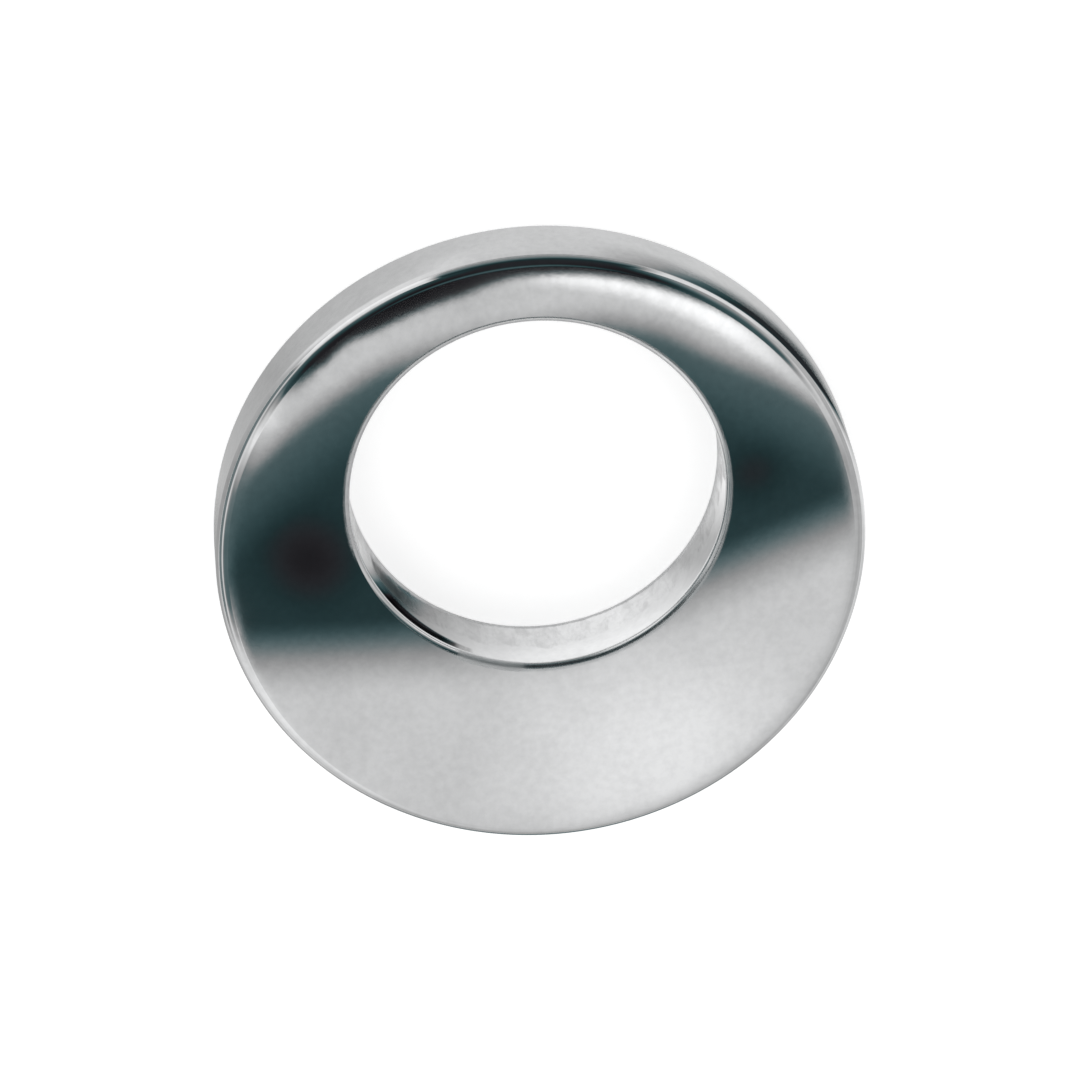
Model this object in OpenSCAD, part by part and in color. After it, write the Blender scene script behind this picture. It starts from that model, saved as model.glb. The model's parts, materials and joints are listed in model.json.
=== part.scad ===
// Offset washer: a round disc whose bore stands off its middle, so that turning the washer
// shifts what is clamped under it. The upper face is crowned, the lower face is flat and the
// rim is straight. It lies on the flat face. The origin is the middle of the disc at that
// face, Z points up through the crown and the bore is shifted along X.

/* [Disc] */
// Outer diameter of the disc
outer_d = 30; // [27:0.5:45]
// Height of the rim, from the flat face to the corner under the crown
rim_h = 3.6; // [2:0.1:6]
// Rise of the crown, from that corner to the middle of the disc
crown_rise = 0.5; // [0.2:0.1:1.5]
// Radius of the rolled edge between the rim and the crown
crown_edge_r = 0.6; // [0.1:0.05:1]
// Radius of the edge between the rim and the flat face
flat_edge_r = 0.3; // [0.1:0.05:0.8]

/* [Bore] */
// Diameter of the bore
bore_d = 17.2; // [10:0.1:19]
// Distance from the middle of the disc to the axis of the bore
bore_offset = 3.2; // [0:0.1:4]
// Radius of the edge between the bore and the crown
bore_crown_edge_r = 0.25; // [0.1:0.05:0.6]
// Radius of the edge between the bore and the flat face
bore_flat_edge_r = 0.3; // [0.1:0.05:0.6]

/* [Hidden] */
$fn = 180;
// Segments of the crown's wide arc, of which the disc uses only a few degrees
crown_fn = 1440;
// How far the cutting shapes run past the faces
past = 1;
// Share of its radius by which the bore's upper edge reaches into the wall and the crown.
// Under 1 it meets both at a slight angle all round, also where the crown leans
edge_reach = 0.9;

outer_r = outer_d / 2;
bore_r = bore_d / 2;
// The crown is part of a sphere whose middle lies on the disc's axis, far below it
crown_r = (outer_r * outer_r + crown_rise * crown_rise) / (2 * crown_rise);
crown_z = rim_h + crown_rise - crown_r;
// Lean of the bore's upper edge, which lies square to the line from the crown's middle
bore_lean = atan2(bore_offset, rim_h - crown_z);

// Height over the crown's middle of a circle of radius r that touches the crown from
// inside, at a distance x from the axis
function under_crown(x, r) = sqrt(pow(crown_r - r, 2) - x * x);

// What lies outside a circle, in the corner between two directions seen from its middle
module corner(mid, r, from, to) {
    half = (from + to) / 2;
    side = r + past;
    translate(mid) difference() {
        polygon([[0, 0], side * [cos(from), sin(from)],
            side * sqrt(2) * [cos(half), sin(half)], side * [cos(to), sin(to)]]);
        circle(r = r);
    }
}

// Half section of the disc without its bore
module disc_section() {
    top = [outer_r - crown_edge_r, under_crown(outer_r - crown_edge_r, crown_edge_r)];
    difference() {
        intersection() {
            square([outer_r, rim_h + crown_rise]);
            translate([0, crown_z]) circle(r = crown_r, $fn = crown_fn);
        }
        corner(top + [0, crown_z], crown_edge_r, 0, atan2(top[1], top[0]));
        corner([outer_r - flat_edge_r, flat_edge_r], flat_edge_r, -90, 0);
    }
}

// Rounds the bore's upper edge: a ring about the line from the crown's middle
module upper_edge() {
    reach = edge_reach * bore_crown_edge_r;
    mid = [bore_r + reach, under_crown(bore_r + reach, reach)];
    translate([0, 0, crown_z]) rotate([0, bore_lean, 0])
        rotate_extrude() corner(mid, bore_crown_edge_r, 90, 180);
}

// Rounds the bore's lower edge: a ring about the bore's own axis
module lower_edge() {
    mid = [bore_r + bore_flat_edge_r, bore_flat_edge_r];
    translate([bore_offset, 0, 0])
        rotate_extrude() corner(mid, bore_flat_edge_r, 180, 270);
}

module washer() {
    color([0.72, 0.73, 0.74]) difference() {
        rotate_extrude() disc_section();
        translate([bore_offset, 0, -past])
            cylinder(r = bore_r, h = rim_h + crown_rise + 2 * past);
        upper_edge();
        lower_edge();
    }
}

washer();
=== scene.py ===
import json

import bpy
import numpy as np
from bpy.props import FloatProperty, FloatVectorProperty, PointerProperty
from mathutils import Matrix, Vector


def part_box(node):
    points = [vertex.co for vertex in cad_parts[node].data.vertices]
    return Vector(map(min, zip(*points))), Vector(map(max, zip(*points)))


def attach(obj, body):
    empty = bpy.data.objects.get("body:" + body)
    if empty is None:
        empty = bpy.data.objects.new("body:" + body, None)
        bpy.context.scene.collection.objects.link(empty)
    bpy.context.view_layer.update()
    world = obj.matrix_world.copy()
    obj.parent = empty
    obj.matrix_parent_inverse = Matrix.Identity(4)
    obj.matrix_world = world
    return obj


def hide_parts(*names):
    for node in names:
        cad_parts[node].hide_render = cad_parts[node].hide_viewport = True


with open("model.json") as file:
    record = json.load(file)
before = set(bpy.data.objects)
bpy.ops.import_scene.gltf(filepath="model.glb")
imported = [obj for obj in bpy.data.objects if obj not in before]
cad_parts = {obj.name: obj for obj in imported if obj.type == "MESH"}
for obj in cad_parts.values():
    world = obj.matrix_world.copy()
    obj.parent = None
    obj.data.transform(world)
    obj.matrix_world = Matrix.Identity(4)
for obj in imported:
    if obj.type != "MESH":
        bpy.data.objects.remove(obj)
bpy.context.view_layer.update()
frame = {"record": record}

bl_info = {
    "name": "Offset Washer",
    "version": (1, 0, 0),
    "blender": (4, 5, 0),
    "location": "View3D > Sidebar > Washer",
    "description": "A thick plated washer with an off-centre bore, in a plain white studio",
    "category": "Add Mesh",
}

LOW, HIGH = (Vector(corner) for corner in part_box("washer"))
BORE = next(m for m in frame["record"]["mounts"] if m["name"] == "bore")
RIM_R, BORE_R, BORE_X = HIGH.x, BORE["dims"]["r_mm"] / 1000, BORE["pos_m"][0]

# Zones of the surface that the plating treats apart from the faces
MARKED_ZONES = ("rim", "bore", "bore_edge")

# Where the cards stand and hang round the washer, in metres
FRONT, BACK, SIDE, TOP = 0.57, -1, 0.9, 0.5
LIFT = 0.00005      # height of the lying cards over the floor, metres
FLOOR_HALF = 3      # half the side of the floor, metres

BRIGHTEST = 2       # highest level that a ramp of card light holds
GIVEN_BACK = 0.66   # share of a card's light that the plating gives back
SENSOR_MM = 36      # width of the camera's sensor


# ---------------------------------------------------------------- settings


def length(name, description, default):
    """A size in metres, shown in the scene's length unit."""
    return FloatProperty(name=name, description=description, default=default,
                         min=0.00005, precision=5, subtype="DISTANCE", unit="LENGTH")


def tint(name, description, default):
    """A linear colour."""
    return FloatVectorProperty(name=name, description=description, default=default,
                               size=3, min=0, max=1, subtype="COLOR")


def share(name, description, default):
    """A share of one."""
    return FloatProperty(name=name, description=description, default=default,
                         min=0, max=1, precision=3, subtype="FACTOR")


class WasherSizes(bpy.types.PropertyGroup):
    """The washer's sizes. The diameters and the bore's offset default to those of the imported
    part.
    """

    outer_d: length("Outer diameter", "Diameter over the rim", 2 * RIM_R)
    rim_h: length("Rim height",
                  "Height where rim and crown would meet in a sharp corner", 0.0036)
    crown_rise: length("Crown rise",
                       "Rise of the upper face from that corner to the disc's middle", 0.0005)
    crown_edge: length("Crown edge", "Radius between rim and upper face", 0.0006)
    flat_edge: length("Flat edge", "Radius between rim and lower face", 0.0003)
    bore_d: length("Bore diameter", "Diameter of the straight bore wall", 2 * BORE_R)
    bore_offset: length("Bore offset",
                        "Shift of the bore's axis from the disc's middle", BORE_X)
    bore_crown_edge: length("Bore upper edge", "Radius between bore and upper face", 0.00025)
    bore_flat_edge: length("Bore lower edge", "Radius between bore and lower face", 0.0003)


class PlatingLook(bpy.types.PropertyGroup):
    """The bright plating."""

    colour: tint("Plating", "Colour of the bright plating", (0.69, 0.695, 0.7))
    # Also the colour of the painted dark reflections on the bore wall and at its upper edge.
    torn_and_painted_reflection_colour: tint("Torn metal",
                      "Colour of the torn metal's dark marks", (0.05, 0.05, 0.052))
    face_rough: share("Face roughness", "Roughness of the two faces and the edges", 0.028)
    rim_rough: share("Rim roughness", "Roughness of the rim's fine turned grain", 0.15)
    torn_rough: share("Torn roughness", "Roughness of the torn band in the bore", 0.4)
    torn_share: share("Torn share",
                      "Part of the bore wall, from the lower face up, that the punch left torn",
                      0.66)


class StudioLook(bpy.types.PropertyGroup):
    """The studio's floor, its light and its camera."""

    floor: tint("Floor", "Colour of the floor", (0.8, 0.8, 0.8))
    room: share("Room light", "Strength of the even light from all round", 0.9)
    lamp: FloatProperty(name="Lamp", description="Power of the softbox", default=0.5,
                        min=0, unit="POWER")
    lens: FloatProperty(name="Lens", description="Focal length of the camera", default=174.0,
                        min=20, unit="CAMERA")


# ------------------------------------------------------------ shader maths


class Wire:
    """A number that leaves a node; arithmetic with it adds Math nodes."""

    def __init__(self, recipe, socket):
        self.recipe, self.socket = recipe, socket

    def math(self, operation, *values):
        return self.recipe.node("ShaderNodeMath", {"operation": operation}, values)[0]

    def __add__(self, other): return self.math("ADD", self, other)
    def __radd__(self, other): return self.math("ADD", other, self)
    def __sub__(self, other): return self.math("SUBTRACT", self, other)
    def __rsub__(self, other): return self.math("SUBTRACT", other, self)
    def __mul__(self, other): return self.math("MULTIPLY", self, other)
    def __rmul__(self, other): return self.math("MULTIPLY", other, self)
    def __truediv__(self, other): return self.math("DIVIDE", self, other)
    def __rtruediv__(self, other): return self.math("DIVIDE", other, self)
    def __pow__(self, other): return self.math("POWER", self, other)
    def __rpow__(self, other): return self.math("POWER", other, self)
    def __neg__(self): return self.math("MULTIPLY", self, -1)
    def over(self, other): return self.math("MAXIMUM", self, other)

    def rise(self, start, end):
        """0 below start, 1 above end, and a smooth S between them."""
        values = {"Value": self, "From Min": start, "From Max": end}
        settings = {"interpolation_type": "SMOOTHSTEP"}
        return self.recipe.node("ShaderNodeMapRange", settings, values)[0]

    def between(self, start, full, fade, end):
        """0 outside start and end, 1 from full to fade, and a smooth S at both sides."""
        return self.rise(start, full) * (1 - self.rise(fade, end))

    def to(self, other, share):
        """This number, moved by a share of the way to another."""
        return self + share * (other - self)


class Outputs:
    """The outputs of a finished node, by name or number."""

    def __init__(self, recipe, node):
        self.recipe, self.node = recipe, node

    def __getitem__(self, key):
        return Wire(self.recipe, self.node.outputs[key])


class Recipe:
    """A node tree that is filled node by node."""

    def __init__(self, owner):
        owner.use_nodes = True
        self.tree = owner.node_tree
        self.tree.nodes.clear()

    def node(self, kind, settings=None, values=None):
        """Adds a node: settings first, such as a Math node's operation or a
        ramp's stops, then the values or wires of its sockets."""
        node = self.tree.nodes.new(kind)
        for name, value in (settings or {}).items():
            if name == "stops":
                ramp = node.color_ramp.elements
                while len(ramp) < len(value):
                    ramp.new(1)
                for stop, (place, level) in zip(ramp, value):
                    stop.position, stop.color = place, (level, level, level, 1)
            else:
                setattr(node, name, value)
        values = values or {}
        pairs = values.items() if isinstance(values, dict) else enumerate(values)
        for key, value in pairs:
            self.put(node.inputs[key], value)
        return Outputs(self, node)

    def put(self, socket, value):
        if isinstance(value, Wire):
            self.tree.links.new(value.socket, socket)
        elif socket.type == "RGBA" and len(value) == 3:
            socket.default_value = (*value, 1)
        else:
            socket.default_value = value

    def place(self):
        """The place on the object, in metres."""
        return self.node("ShaderNodeTexCoord")["Object"]

    def axes(self, vector):
        """The three numbers of a vector."""
        split = self.node("ShaderNodeSeparateXYZ", None, [vector])
        return split["X"], split["Y"], split["Z"]

    def turn(self, x, y):
        """The angle of a point in the plane, in turns from -0.5 to 0.5."""
        radians = self.node("ShaderNodeMath", {"operation": "ARCTAN2"}, [y, x])[0]
        return radians / (2 * np.pi)

    def ramp(self, factor, stops):
        """A level that follows straight lines from stop to stop, each a place
        from 0 to 1 and a level up to the brightest."""
        stops = [(place, level / BRIGHTEST) for place, level in stops]
        return self.node("ShaderNodeValToRGB", {"stops": stops}, [factor])[0] * BRIGHTEST

    def blend(self, factor, first, second):
        """A colour between two colours."""
        mix = self.node("ShaderNodeMix", {"data_type": "RGBA"})
        for key, value in ((0, factor), (6, first), (7, second)):
            self.put(mix.node.inputs[key], value)
        return mix[2]

    def noise(self, place, scale, detail=2.0, roughness=0.5, distortion=0.0):
        """Soft noise from 0 to 1, with its mean near a half."""
        values = {"Vector": place, "Scale": scale, "Detail": detail,
                  "Roughness": roughness, "Distortion": distortion}
        return self.node("ShaderNodeTexNoise", None, values)[0]


# -------------------------------------------------------------- the washer


def washer_surface(s, columns=540):
    """The washer as one closed surface over two parameters: the angle u about
    the bore or rim circle, and the way v once round the section. v runs out
    along the lower face, up the rim, in over the crown and down the bore.
    Faces are straight blends, at equal u, of the circle or curve at one end
    and at the other; the crown takes its height from a sphere. Edges are
    rounded: a ball of the edge's radius rolls along both faces it touches,
    and the surface is the ball's arc between the two touching points. Where
    bore and crown meet, the ball's height changes with u, because the bore is
    off centre. Returns the points and normals, shape (rows, columns, 3), and
    for each row the name of its zone."""
    u = np.linspace(0, 2 * np.pi, columns, endpoint=False)
    ring = np.stack([np.cos(u), np.sin(u), 0 * u], axis=1)
    up = np.array([0.0, 0.0, 1.0])
    down = -up + 0 * ring
    middle = np.array([s.bore_offset, 0.0, 0.0])
    rim_r, bore_r = s.outer_d / 2, s.bore_d / 2
    sphere_r = (rim_r ** 2 + s.crown_rise ** 2) / (2 * s.crown_rise)
    sphere_z = s.rim_h + s.crown_rise - sphere_r

    def on_sphere(plan, radius):
        """Points over a plan, on the sphere of that radius about the crown's centre."""
        flat = plan * (1, 1, 0)
        return flat + up * (sphere_z + np.sqrt(radius ** 2 - (flat ** 2).sum(-1, keepdims=True)))

    def crown_normal(points):
        way = points - up * sphere_z
        return way / np.linalg.norm(way, axis=-1, keepdims=True)

    def arc(centre, radius, first, last, steps):
        """The ball's arc from one unit normal to the other, at equal turns."""
        turn = np.arccos(np.clip((first * last).sum(-1, keepdims=True), -1, 1))
        t = np.linspace(0, 1, steps + 1)[:, None, None]
        normals = (np.sin((1 - t) * turn) * first + np.sin(t * turn) * last) / np.sin(turn)
        return centre + radius * normals, normals

    def straight(first, last, steps):
        t = np.linspace(0, 1, steps + 1)[:, None, None]
        return first + (last - first) * t

    def along(first, last, normal, steps):
        points = straight(first, last, steps)
        return points, np.broadcast_to(normal, points.shape)

    # The paths of the balls' centres, and their normals where they touch the crown
    flat_ball = ring * (rim_r - s.flat_edge) + up * s.flat_edge
    crown_ball = on_sphere(ring * (rim_r - s.crown_edge), sphere_r - s.crown_edge)
    upper_ball = on_sphere(middle + ring * (bore_r + s.bore_crown_edge),
                           sphere_r - s.bore_crown_edge)
    lower_ball = middle + ring * (bore_r + s.bore_flat_edge) + up * s.bore_flat_edge
    rim_lean, bore_lean = crown_normal(crown_ball), crown_normal(upper_ball)

    crown = on_sphere(straight(crown_ball + s.crown_edge * rim_lean,
                               upper_ball + s.bore_crown_edge * bore_lean, 48), sphere_r)
    strips = [
        ("face", along(lower_ball - s.bore_flat_edge * up, flat_ball - s.flat_edge * up, -up, 24)),
        ("edge", arc(flat_ball, s.flat_edge, down, ring, 10)),
        ("rim", along(flat_ball + s.flat_edge * ring, crown_ball + s.crown_edge * ring, ring, 16)),
        ("edge", arc(crown_ball, s.crown_edge, ring, rim_lean, 16)),
        ("face", (crown, crown_normal(crown))),
        ("bore_edge", arc(upper_ball, s.bore_crown_edge, bore_lean, -ring, 10)),
        ("bore", along(upper_ball - s.bore_crown_edge * ring,
                       lower_ball - s.bore_flat_edge * ring, -ring, 32)),
        ("bore_edge", arc(lower_ball, s.bore_flat_edge, -ring, down, 8)),
    ]
    # A strip's last row is the first row of the next
    points = np.concatenate([p[:-1] for _, (p, _n) in strips])
    normals = np.concatenate([n[:-1] for _, (_p, n) in strips])
    zones = np.concatenate([np.full(len(p) - 1, name) for name, (p, _n) in strips])
    return points, normals, zones


def closed_mesh(name, points, normals):
    """A mesh of four-sided faces over a grid that closes both ways. The faces
    turn from u to v, which points them outwards, and keep the normals given."""
    rows, columns = points.shape[:2]
    j, i = np.meshgrid(np.arange(rows), np.arange(columns), indexing="ij")
    following, beside = (j + 1) % rows, (i + 1) % columns
    corners = np.stack([j * columns + i, j * columns + beside,
                        following * columns + beside, following * columns + i], axis=-1)
    count = rows * columns
    mesh = bpy.data.meshes.new(name)
    mesh.vertices.add(count)
    mesh.vertices.foreach_set("co", points.reshape(-1))
    mesh.loops.add(count * 4)
    mesh.loops.foreach_set("vertex_index", corners.reshape(-1).astype(np.int32))
    mesh.polygons.add(count)
    mesh.polygons.foreach_set("loop_start", np.arange(0, count * 4, 4, dtype=np.int32))
    mesh.polygons.foreach_set("loop_total", np.full(count, 4, dtype=np.int32))
    mesh.update(calc_edges=True)
    mesh.polygons.foreach_set("use_smooth", np.ones(count, dtype=bool))
    mesh.normals_split_custom_set_from_vertices(normals.reshape(-1, 3))
    return mesh


def mark(mesh, zone, zones, columns):
    """A number on each point, named after a zone: 1 in its rows, 0 elsewhere."""
    values = np.repeat((zones == zone).astype(np.float32), columns)
    mesh.attributes.new(zone, "FLOAT", "POINT").data.foreach_set("value", values)


def bright_plating(look, sizes):
    """Bright plating: a near mirror with a faint haze on the faces, fine turned
    grain round the rim, and in the lower bore a torn band, mottled and pitted,
    worst on the side where the ring is narrow. Above a ragged line the bore is
    smooth again, but at one place a painted dark reflection darkens the colour:
    a streak on its wall, which is also made rough like the torn band, and a
    thin line at its upper edge. The heights are shares of the rim's, the
    places across the bore shares of its radius, and the angles about its axis
    degrees."""
    material = bpy.data.materials.new("bright_plating")
    r = Recipe(material)
    place = r.place()
    x, y, z = r.axes(place)
    rim, bore, bore_edge = (r.node("ShaderNodeAttribute", {"attribute_name": zone})["Fac"]
                            for zone in MARKED_ZONES)

    lines, streaks = (r.node("ShaderNodeMapping", None, {"Vector": place, "Scale": (1, 1, flat)})[0]
                      for flat in (30, 0.4))
    grain = r.noise(lines, 700, 3, 0.6)
    haze = r.noise(place, 260, 3, 0.55)
    specks = r.noise(place, 2600, 2, 0.5)
    tears = r.noise(streaks, 1300, 4, 0.6, 0.6)
    pits = r.noise(streaks, 4200, 2, 0.6)
    ragged = r.noise(streaks, 900, 3, 0.6)

    bore_r = sizes.bore_d / 2
    height = z / sizes.rim_h
    across, along = (x - sizes.bore_offset) / bore_r, y / bore_r
    angle = r.turn(across, along) * 360 + (tears - 0.5) * 16
    ragged_height = height + (ragged - 0.5) * 0.4
    # The streak is a painted dark reflection: the colour is darkened here for dark things mirrored
    # in the wall, and the wall is also made rough like the torn band.
    painted_reflection_streak = bore * angle.between(112, 120, 126, 142) * height.between(0.2, 0.42, 0.58, 0.83)
    torn = bore * (1 - ragged_height.rise(look.torn_share - 0.04, look.torn_share + 0.04))
    torn = torn * (0.25 + across.rise(-0.72, 0.56).over(painted_reflection_streak) * 0.75)
    # The line is a painted dark reflection: the colour is darkened along the bore's upper edge,
    # where the opposite wall's dark reflection falls.
    painted_reflection_line = angle.between(114, 124, 146, 157) * height.between(0.91, 0.94, 1.035, 1.05)
    painted_reflection_line = painted_reflection_line * bore.over(bore_edge)
    keen = angle.between(98, 110, 144, 156)     # where the bore's upper edge is still sharp
    nicks = angle.between(146, 154, 166, 176)

    rough = look.face_rough + (haze - 0.5) * 0.02
    rough = rough + rim * (look.rim_rough - look.face_rough + (grain - 0.5) * 0.12)
    rough = rough + torn.over(painted_reflection_streak) * (look.torn_rough - look.face_rough + (tears - 0.5) * 0.35)
    rough = rough + bore_edge * ((1 - keen) * (0.22 + (ragged - 0.5) * 0.3) + nicks * 0.3)
    mottle = tears.rise(0.42, 0.66) * 0.6 + pits.rise(0.5, 0.7) * 0.2
    # The torn band's dark mottle, with the painted dark reflections of the streak and the line.
    marks_and_painted_reflections = (torn * mottle).over(painted_reflection_streak * 0.72).over(painted_reflection_line)
    cloud = 0.05 + (haze - 0.5) * 0.24 + (specks - 0.5) * 0.2
    colour = r.blend((marks_and_painted_reflections + cloud).over(0), look.colour, look.torn_and_painted_reflection_colour)

    relief = (haze - 0.5) * 0.15 + (specks - 0.5) * 0.03 + rim * (grain - 0.5) * 0.6
    relief = relief + torn * ((tears - 0.5) * 14 + (pits - 0.5) * 2.5)
    bump = r.node("ShaderNodeBump", None,
                  {"Strength": 1.0, "Distance": 0.000004, "Height": relief})[0]
    shader = r.node("ShaderNodeBsdfPrincipled", None, {"Base Color": colour, "Metallic": 1.0,
                                                       "Roughness": rough, "Normal": bump})[0]
    r.node("ShaderNodeOutputMaterial", None, {"Surface": shader})
    return material


class OFFSETWASHER_OT_washer(bpy.types.Operator):
    """Make the washer body, in place of the plain CAD node"""

    bl_idname = "offset_washer.washer"
    bl_label = "Washer"

    def execute(self, context):
        sizes, look = context.scene.washer_sizes, context.scene.plating_look
        points, normals, zones = washer_surface(sizes)
        mesh = closed_mesh("washer_body", points, normals)
        for zone in MARKED_ZONES:
            mark(mesh, zone, zones, points.shape[1])
        mesh.materials.append(bright_plating(look, sizes))
        body = bpy.data.objects.new("washer_body", mesh)
        context.scene.collection.objects.link(body)
        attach(body, "root")
        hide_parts("washer")
        return {"FINISHED"}


# ------------------------------------------------------- floor and lighting


def stand(context, name, material, points, faces=((0, 1, 2, 3),), mirrored_only=True):
    """Adds a part of the studio. A card is seen only mirrored in the metal."""
    mesh = bpy.data.meshes.new(name)
    mesh.from_pydata(points, [], faces)
    mesh.materials.append(material)
    part = bpy.data.objects.new(name, mesh)
    context.scene.collection.objects.link(part)
    if mirrored_only:
        part.visible_camera = part.visible_diffuse = part.visible_shadow = False


def white_room(context, look):
    """Even light from all round. The camera and the metal see plain white."""
    world = bpy.data.worlds.new("white_room")
    context.scene.world = world
    r = Recipe(world)
    path = r.node("ShaderNodeLightPath")
    seen = path["Is Camera Ray"].over(path["Is Glossy Ray"]).over(path["Is Transmission Ray"])
    strength = look.room + seen * (1 - look.room)
    light = r.node("ShaderNodeBackground", None, {"Color": (1, 1, 1), "Strength": strength})[0]
    r.node("ShaderNodeOutputWorld", None, {"Surface": light})


def white_floor(look):
    """A matt floor that takes the shadow. What sees it directly gets a little
    light added, so that it is white away from the washer."""
    material = bpy.data.materials.new("white_floor")
    r = Recipe(material)
    path = r.node("ShaderNodeLightPath")
    mirrored = path["Is Glossy Ray"].over(path["Is Transmission Ray"])
    added = path["Is Camera Ray"] * 0.5 + mirrored * 0.2
    matt = r.node("ShaderNodeBsdfDiffuse", None, {"Color": look.floor})[0]
    glow = r.node("ShaderNodeEmission", None, {"Color": (1, 1, 1), "Strength": added})[0]
    both = r.node("ShaderNodeAddShader", None, [matt, glow])[0]
    r.node("ShaderNodeOutputMaterial", None, {"Surface": both})
    return material


def softbox(context, look):
    """A lamp on the bore's side, a little above the floor. The metal mirrors
    its cloth in place of it: a standing rectangle across the line to the
    washer, bright in its middle and clear at its edges."""
    place = Vector((0.42, 0.33, 0.16))
    data = bpy.data.lights.new("softbox", "AREA")
    data.energy, data.shape, data.size, data.size_y = look.lamp, "RECTANGLE", 0.4, 0.3
    lamp = bpy.data.objects.new("softbox", data)
    context.scene.collection.objects.link(lamp)
    facing = place.to_track_quat("Z", "Y").to_matrix().to_4x4()
    lamp.matrix_world = Matrix.Translation(place) @ facing
    lamp.visible_glossy = False

    half_width, height = 0.22, 0.3
    side = Vector((-place.y, place.x, 0)).normalized()
    foot = Vector((place.x, place.y, 0))
    corners = [foot + side * (across * half_width) + Vector((0, 0, up * height))
               for across, up in ((-1, 0), (1, 0), (1, 1), (-1, 1))]
    material = bpy.data.materials.new("softbox_cloth")
    r = Recipe(material)
    x, y, z = r.axes(r.place())
    across = (x * side.x + y * side.y) / half_width
    solid = (1 - (across * across).rise(0.15, 0.95)) * (1 - z.rise(0.08, height))
    clear = r.node("ShaderNodeBsdfTransparent")[0]
    glow = r.node("ShaderNodeEmission", None, {"Color": (1, 1, 1), "Strength": 1.3})[0]
    cloth = r.node("ShaderNodeMixShader", None, [solid, clear, glow])[0]
    r.node("ShaderNodeOutputMaterial", None, {"Surface": cloth})
    stand(context, "softbox_front", material, corners)


# --------------------------------------------------------------- the cards


def lying(first_x, last_x, half_y, z):
    """The corners of a level rectangle, even about the X axis."""
    return [(first_x, -half_y, z), (last_x, -half_y, z), (last_x, half_y, z), (first_x, half_y, z)]


def standing(first, last):
    """The corners of a card that stands on the floor between two places."""
    return [(*first, 0), (*last, 0), (*last, TOP), (*first, TOP)]


def bore_disc(radius, height, steps=48):
    """A flat disc on the bore's axis: radius times the cosine and sine of the
    angle. Returns its points and its one face."""
    angle = np.linspace(0, 2 * np.pi, steps, endpoint=False)
    points = np.stack([BORE_X + radius * np.cos(angle), radius * np.sin(angle),
                       height + 0 * angle], axis=1)
    return points.tolist(), [list(range(steps))]


def ring_band(inner, outer, height, steps=96):
    """A flat ring between two radii: radius times the cosine and sine of the
    angle. Returns its points and its faces."""
    angle = np.linspace(0, 2 * np.pi, steps, endpoint=False)
    ring = np.stack([np.cos(angle), np.sin(angle), 0 * angle], axis=1)
    points = np.concatenate([ring * inner, ring * outer]) + (0, 0, height)
    k, following = np.arange(steps), (np.arange(steps) + 1) % steps
    faces = np.stack([k, k + steps, following + steps, following], axis=1)
    return points.tolist(), faces.tolist()


def shown(tone):
    """The light a card needs so that the plating shows this tone of 0 to 255:
    the tone taken off the display's curve, over the share given back."""
    return ((tone / 255 + 0.055) / 1.055) ** 2.4 / GIVEN_BACK


def card_paper(name, light, *values):
    """A card's material. It glows grey at the level that the light works out
    from a recipe and its own values, cool where it is dark and a little
    reddish where it is darkest."""
    material = bpy.data.materials.new(name)
    r = Recipe(material)
    level = light(r, *values)
    pale, deep = level.rise(-0.1, 0.45), 1 - level.rise(0.02, 0.045)
    red = level * (0.35 + pale * 0.65 + deep * 0.62)
    blue = level * (1.11 - pale * 0.11 + deep * 0.06)
    colour = r.node("ShaderNodeCombineColor", None, [red, level, blue])[0]
    glow = r.node("ShaderNodeEmission", None, {"Color": colour, "Strength": 1.0})[0]
    r.node("ShaderNodeOutputMaterial", None, {"Surface": glow})
    return material


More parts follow.
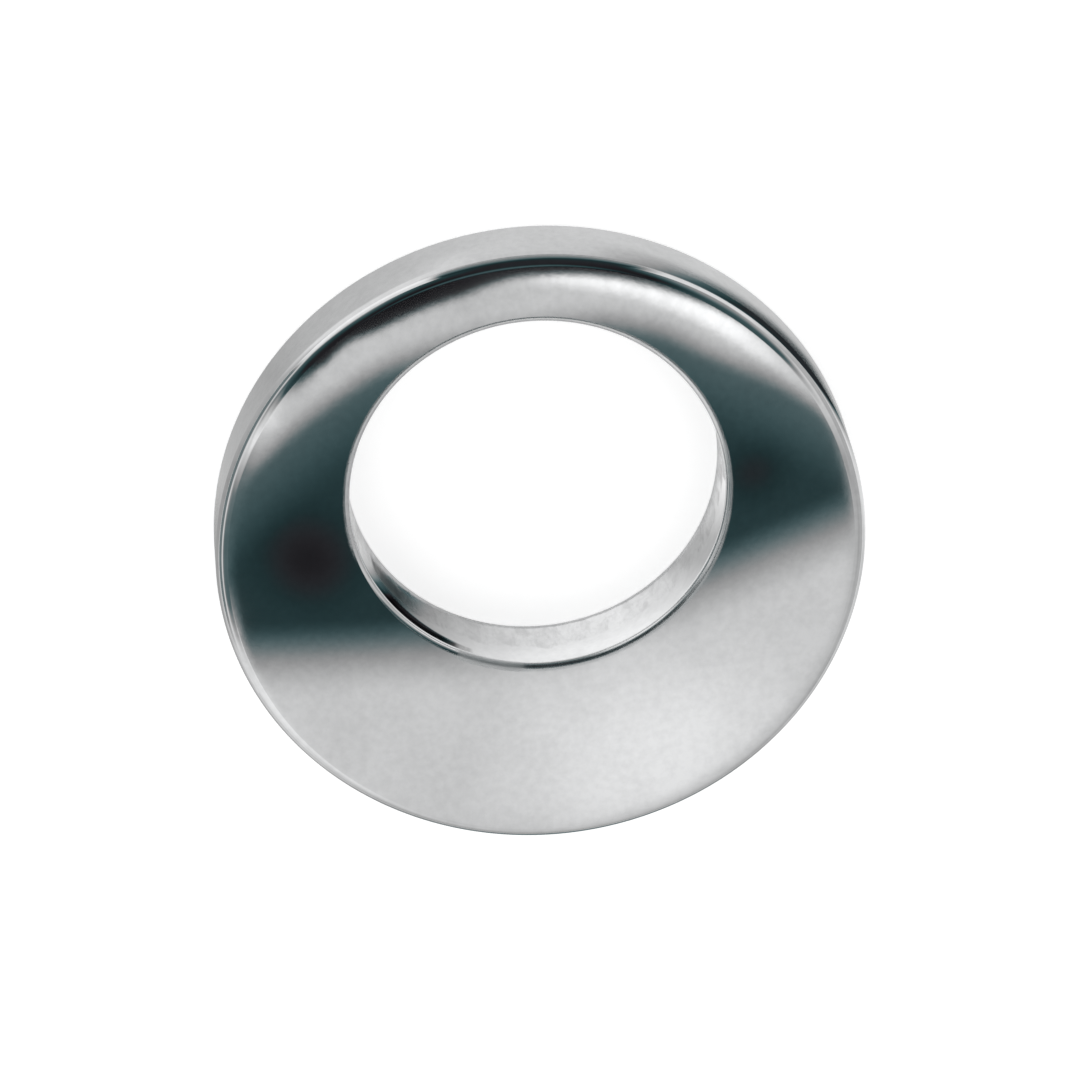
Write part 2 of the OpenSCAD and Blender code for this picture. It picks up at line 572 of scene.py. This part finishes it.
def overhead_light(r):
    """The overhead card's light, in millimetres over the floor plan. Its
    middle, which the crown mirrors, has a light side with a brighter spot, a
    dark gap with two darker cores, a grey strip with a white end and a dark
    bow beyond it; the bows are parabolas. Outside an oval the light goes by
    the angle about a point, in rays, and changes slowly with the distance. A
    soft grey patch hangs right over the washer. Towards its sides the card
    nears the light of the cards that it meets there."""
    x, y, _ = r.axes(r.place())
    x, y = x * 1000, y * 1000

    def oval(cx, cy, rx, ry):
        """The distance from an oval's middle, which is 1 on the oval."""
        u, v = (x - cx) / rx, (y - cy) / ry
        return (u * u + v * v) ** 0.5

    light_side = 1 - (x + 294 - (-32.5 - y).over(0) * 0.325).rise(-21, 21)
    spot = 1 - oval(-354.5, -60, 1, 1).rise(6, 80)
    left_core = 1 - oval(-245, 59, 33, 27).rise(0, 1)
    right_core = 1 - oval(-228, -100, 22, 20).rise(0, 1)
    below = 1 - y.rise(-30, -18)
    gap = 0.052 + below * 0.007 - left_core.over(right_core * 0.8) * 0.034

    bow = (y + 24) * (y + 24)
    middle = (y + 12) / 38
    strip = x + 152 + bow * 0.0052 + (1 - middle * middle).over(0) * 3
    strip = strip + (-y).between(68, 88, 92, 112) * 2.2
    greys = strip.rise(-38, 0) * 0.1 + strip.rise(-7.3, 7.3) * 0.66
    white = (x + 141 - y.rise(-50, -25) * 1.8 + bow * 0.0064).rise(-2.6, 4.2)
    white = white * (1 - y.rise(-36, -14)) * (1 - (-y).rise(85, 128)) * 0.75
    wave = (1 - y.rise(-20, 0)) * 2.8 + y.between(27, 37, 39, 46) * 2
    dark_bow = (x + 139.5 - wave + bow * (0.0049 + below * 0.00034)).rise(-2, 2)
    inner = (1 - light_side) * (gap + greys) + light_side * (0.85 + spot * 0.287) + white
    inner = inner.to(0.02, dark_bow)

    turn = r.turn(x + 220, y + 10) + 0.5

    def rays(*tones):
        """The tone that the plating shows, by the angle in degrees."""
        return r.ramp(turn, [(angle / 360 + 0.5, shown(tone)) for angle, tone in tones])

    near = rays((-180, 192), (-150, 190), (-115, 177), (-96, 168), (-90, 150), (-84, 176),
                (-76, 192), (-68, 165), (-61, 80), (-40, 68), (-28, 22), (0, 38), (15, 20),
                (45, 32), (52, 70), (59, 200), (66, 228), (71, 184), (80, 110), (92, 94),
                (108, 96), (114, 150), (120, 205), (132, 227), (150, 221), (168, 188), (180, 192))
    far = rays((-180, 186), (-120, 165), (-110, 150), (-95, 166), (-80, 198), (-70, 206),
               (-60, 175), (-50, 135), (-40, 138), (-22, 42), (5, 36), (15, 60), (30, 100),
               (38, 76), (55, 82), (61, 115), (66, 170), (71, 213), (80, 150), (92, 107),
               (108, 114), (120, 210), (132, 222), (156, 199), (180, 186))
    outer = near.to(far, oval(-220, -10, 1, 1).rise(280, 760))
    level = inner.to(outer, oval(-263.5, -24.5, 129.5, 112.5).rise(0.975, 1.03))

    level = level.to(shown(84), 1 - oval(-10, -5, 100, 120).rise(0.1, 1.05))
    level = level.to(shown(166), (-y).rise(560, 880))
    border = y.rise(520, 900).over(x.rise(300, 570) * y.rise(250, 500))
    return level.to(1 - x.rise(0, 300) * 0.2, border)


def front_light(r):
    """The front card's light: dark above, mid grey near the floor, white to
    both sides."""
    _, y, z = r.axes(r.place())
    grey = shown(132) + z.rise(0.04, 0.4) * (shown(45) - shown(132))
    return 1 + y.between(-0.5, -0.35, 0.185, 0.245) * (grey - 1)


def back_light(r):
    """The back card's light: greyer near the floor, paler above and, in two
    steps, towards one side."""
    _, y, z = r.axes(r.place())
    level = shown(150) + z.rise(0, 0.4) * (shown(170) - shown(150) + y.rise(-0.9, 0.1) * 0.1)
    return level + y.rise(0.25, 0.6) * 0.3


def side_light(r, foot, top, end, near, far):
    """A side card's light: grey, with one tone at its foot and one at its
    top, a tone of its own at the far end and, from near to far along X,
    white."""
    x, _, z = r.axes(r.place())
    level = shown(foot) + z.rise(0.34, TOP) * (shown(top) - shown(foot))
    level = shown(end) + x.rise(-0.85, -0.5) * (level - shown(end))
    return level.to(1, x.rise(near, far))


def bore_light(r):
    """The bore card's light by the angle about the bore's axis, a little
    brighter away from the wall, and faintly cloudy. A thin dark arc, nearer
    to the axis as the angle grows, is mirrored as a line under the bore's
    upper edge. Lengths are shares of the bore's radius."""
    place = r.place()
    x, y, _ = r.axes(place)
    x, y = (x - BORE_X) / BORE_R, y / BORE_R
    turn = r.turn(-x, -y) + 0.5
    tones = ((0, 200), (60, 190), (90, 205), (108, 205), (121, 175), (128, 90), (135, 86),
             (142, 140), (152, 176), (166, 205), (185, 228), (203, 232), (218, 212), (229, 172),
             (237, 172), (245, 200), (254, 222), (266, 205), (285, 170), (300, 160), (330, 190),
             (360, 200))
    level = r.ramp(turn, [(angle / 360, shown(tone)) for angle, tone in tones])
    away = (x * x + y * y) ** 0.5
    inward = 1 - away.rise(0.79, 0.88)
    inside = 1.3795 - turn * 1.23 - away
    arc = inside.between(-0.002, 0.002, 0.02, 0.03) * turn.between(0.35, 0.375, 0.425, 0.45)
    cloudy = 0.89 + inward * 0.12 + r.noise(place, 300) * 0.1
    return level * cloudy * (1 - arc * 0.95)


def ring_light(r):
    """The ring card's light by the angle about the disc's axis, close to the
    rim, further out and beyond: a dark patch on one side, a bright one on the
    other and greys between. Lengths are shares of the rim's radius."""
    x, y, _ = r.axes(r.place())
    x, y = x / RIM_R, y / RIM_R
    turn = r.turn(x, y) + 0.5

    def by_angle(*levels):
        """The level, or a place from the axis, by the angle in degrees."""
        return r.ramp(turn, [(angle / 360 + 0.5, level) for angle, level in levels])

    close = by_angle((-180, 0.8), (-90, 0.85), (-66, 0.62), (-50, 0.75), (-36, 0.82), (0, 0.82),
                     (20, 0.7), (40, 0.62), (52, 0.5), (62, 0.56), (75, 0.6), (88, 0.42),
                     (97, 0.36), (106, 0.7), (116, 0.85), (180, 0.8))
    far = by_angle((-180, 0.2), (-165, 0.28), (-150, 0.36), (-135, 0.62), (-120, 0.8),
                   (-106, 0.78), (-97, 1.05), (-88, 1.0), (-82, 0.75), (-73, 0.03), (-46, 0.03),
                   (-37, 0.12), (-24, 0.52), (-14, 0.76), (6, 0.84), (22, 1.0), (44, 1.04),
                   (53, 0.6), (66, 0.54), (80, 0.46), (92, 0.48), (100, 0.48), (112, 0.52),
                   (140, 0.44), (155, 0.34), (170, 0.26), (180, 0.2))
    beyond = by_angle((-180, 0.54), (-165, 0.7), (-150, 0.72), (-135, 0.85), (-120, 0.95),
                      (-106, 0.96), (-97, 1.15), (-88, 1.0), (-82, 0.7), (-73, 0.03), (-60, 0.1),
                      (-48, 0.2), (-32, 0.5), (-16, 0.34), (0, 0.28), (12, 0.42), (24, 1.0),
                      (44, 1.04), (53, 0.6), (66, 0.56), (80, 0.47), (92, 0.5), (100, 0.68),
                      (112, 0.8), (140, 0.84), (155, 0.7), (170, 0.62), (180, 0.54))
    start = by_angle((-86, 1.04), (-76, 1.014), (-62, 1.012), (-49, 1.028), (-34, 1.04),
                     (-22, 1.04))
    end = by_angle((-86, 1.073), (-76, 1.03), (-62, 1.028), (-49, 1.046), (-34, 1.07),
                   (-22, 1.073), (12, 1.073), (28, 1.28), (44, 1.28), (56, 1.073))
    reach = by_angle((-152, 1), (-137, 0.5), (-118, 1), (92, 1), (108, 0.35), (140, 0.35),
                     (162, 1))
    away = (x * x + y * y) ** 0.5
    level = close.to(far, away.rise(start, end))
    return level.to(beyond, ((away - 1) / reach).rise(0.5, 2.3))


def camera(context, look):
    """Looks down on the washer from the bore's side, at the angle and from the
    distance of the photograph, rolled so that the bore's side is at the top."""
    data = bpy.data.cameras.new("camera")
    data.lens, data.sensor_width = look.lens, SENSOR_MM
    data.clip_start, data.clip_end = 0.01, 10
    view = bpy.data.objects.new("camera", data)
    context.scene.collection.objects.link(view)
    place = Vector((0.1090, 0.01015, 0.2168))
    top_of_picture = Vector((0.8892, -0.1003, -0.4464))
    back = (place - (LOW + HIGH) / 2).normalized()
    right = top_of_picture.cross(back).normalized()
    turn = Matrix((right, back.cross(right), back)).transposed().to_4x4()
    view.matrix_world = Matrix.Translation(place) @ turn
    context.scene.camera = view


class OFFSETWASHER_OT_studio(bpy.types.Operator):
    """Make the white room, the floor, the cards, the softbox and the camera"""

    bl_idname = "offset_washer.studio"
    bl_label = "Studio"

    def execute(self, context):
        look = context.scene.studio_look
        context.scene.view_settings.view_transform = "Standard"
        white_room(context, look)
        stand(context, "floor", white_floor(look), lying(-FLOOR_HALF, FLOOR_HALF, FLOOR_HALF, 0),
              mirrored_only=False)
        stand(context, "overhead_card", card_paper("overhead_paper", overhead_light),
              lying(BACK, FRONT, SIDE, TOP))
        stand(context, "front_card", card_paper("front_paper", front_light),
              standing((FRONT, -SIDE), (FRONT, SIDE)))
        stand(context, "back_card", card_paper("back_paper", back_light),
              standing((BACK, SIDE), (BACK, -SIDE)))
        stand(context, "left_card",
              card_paper("left_paper", side_light, 114, 205, 213, 0.44, 0.57),
              standing((BACK, SIDE), (FRONT, SIDE)))
        stand(context, "right_card",
              card_paper("right_paper", side_light, 168, 164, 168, 0.12, 0.5),
              standing((BACK, -SIDE), (FRONT, -SIDE)))
        stand(context, "ring_card", card_paper("ring_paper", ring_light),
              *ring_band(RIM_R + LIFT, 8 * RIM_R, LIFT))
        stand(context, "bore_card", card_paper("bore_paper", bore_light),
              *bore_disc(BORE_R - 0.0002, LIFT))
        softbox(context, look)
        camera(context, look)
        return {"FINISHED"}


# --------------------------------------------------------------- the panel


class OFFSETWASHER_PT_panel(bpy.types.Panel):
    """Lists the sizes, the looks and the operators."""

    bl_idname = "OFFSETWASHER_PT_panel"
    bl_label = "Offset Washer"
    bl_space_type = "VIEW_3D"
    bl_region_type = "UI"
    bl_category = "Washer"

    def draw(self, context):
        scene = context.scene
        for settings, operator in ((scene.washer_sizes, None),
                                   (scene.plating_look, "offset_washer.washer"),
                                   (scene.studio_look, "offset_washer.studio")):
            column = self.layout.column(align=True)
            for name in settings.__annotations__:
                column.prop(settings, name)
            if operator:
                column.operator(operator)


GROUPS = {"washer_sizes": WasherSizes, "plating_look": PlatingLook, "studio_look": StudioLook}
CLASSES = (*GROUPS.values(), OFFSETWASHER_OT_washer, OFFSETWASHER_OT_studio, OFFSETWASHER_PT_panel)


def register():
    for cls in CLASSES:
        bpy.utils.register_class(cls)
    for name, group in GROUPS.items():
        setattr(bpy.types.Scene, name, PointerProperty(type=group))


def unregister():
    for name in GROUPS:
        delattr(bpy.types.Scene, name)
    for cls in reversed(CLASSES):
        bpy.utils.unregister_class(cls)


def main():
    register()
    bpy.ops.offset_washer.washer()
    bpy.ops.offset_washer.studio()


if __name__ == "__main__":
    main()
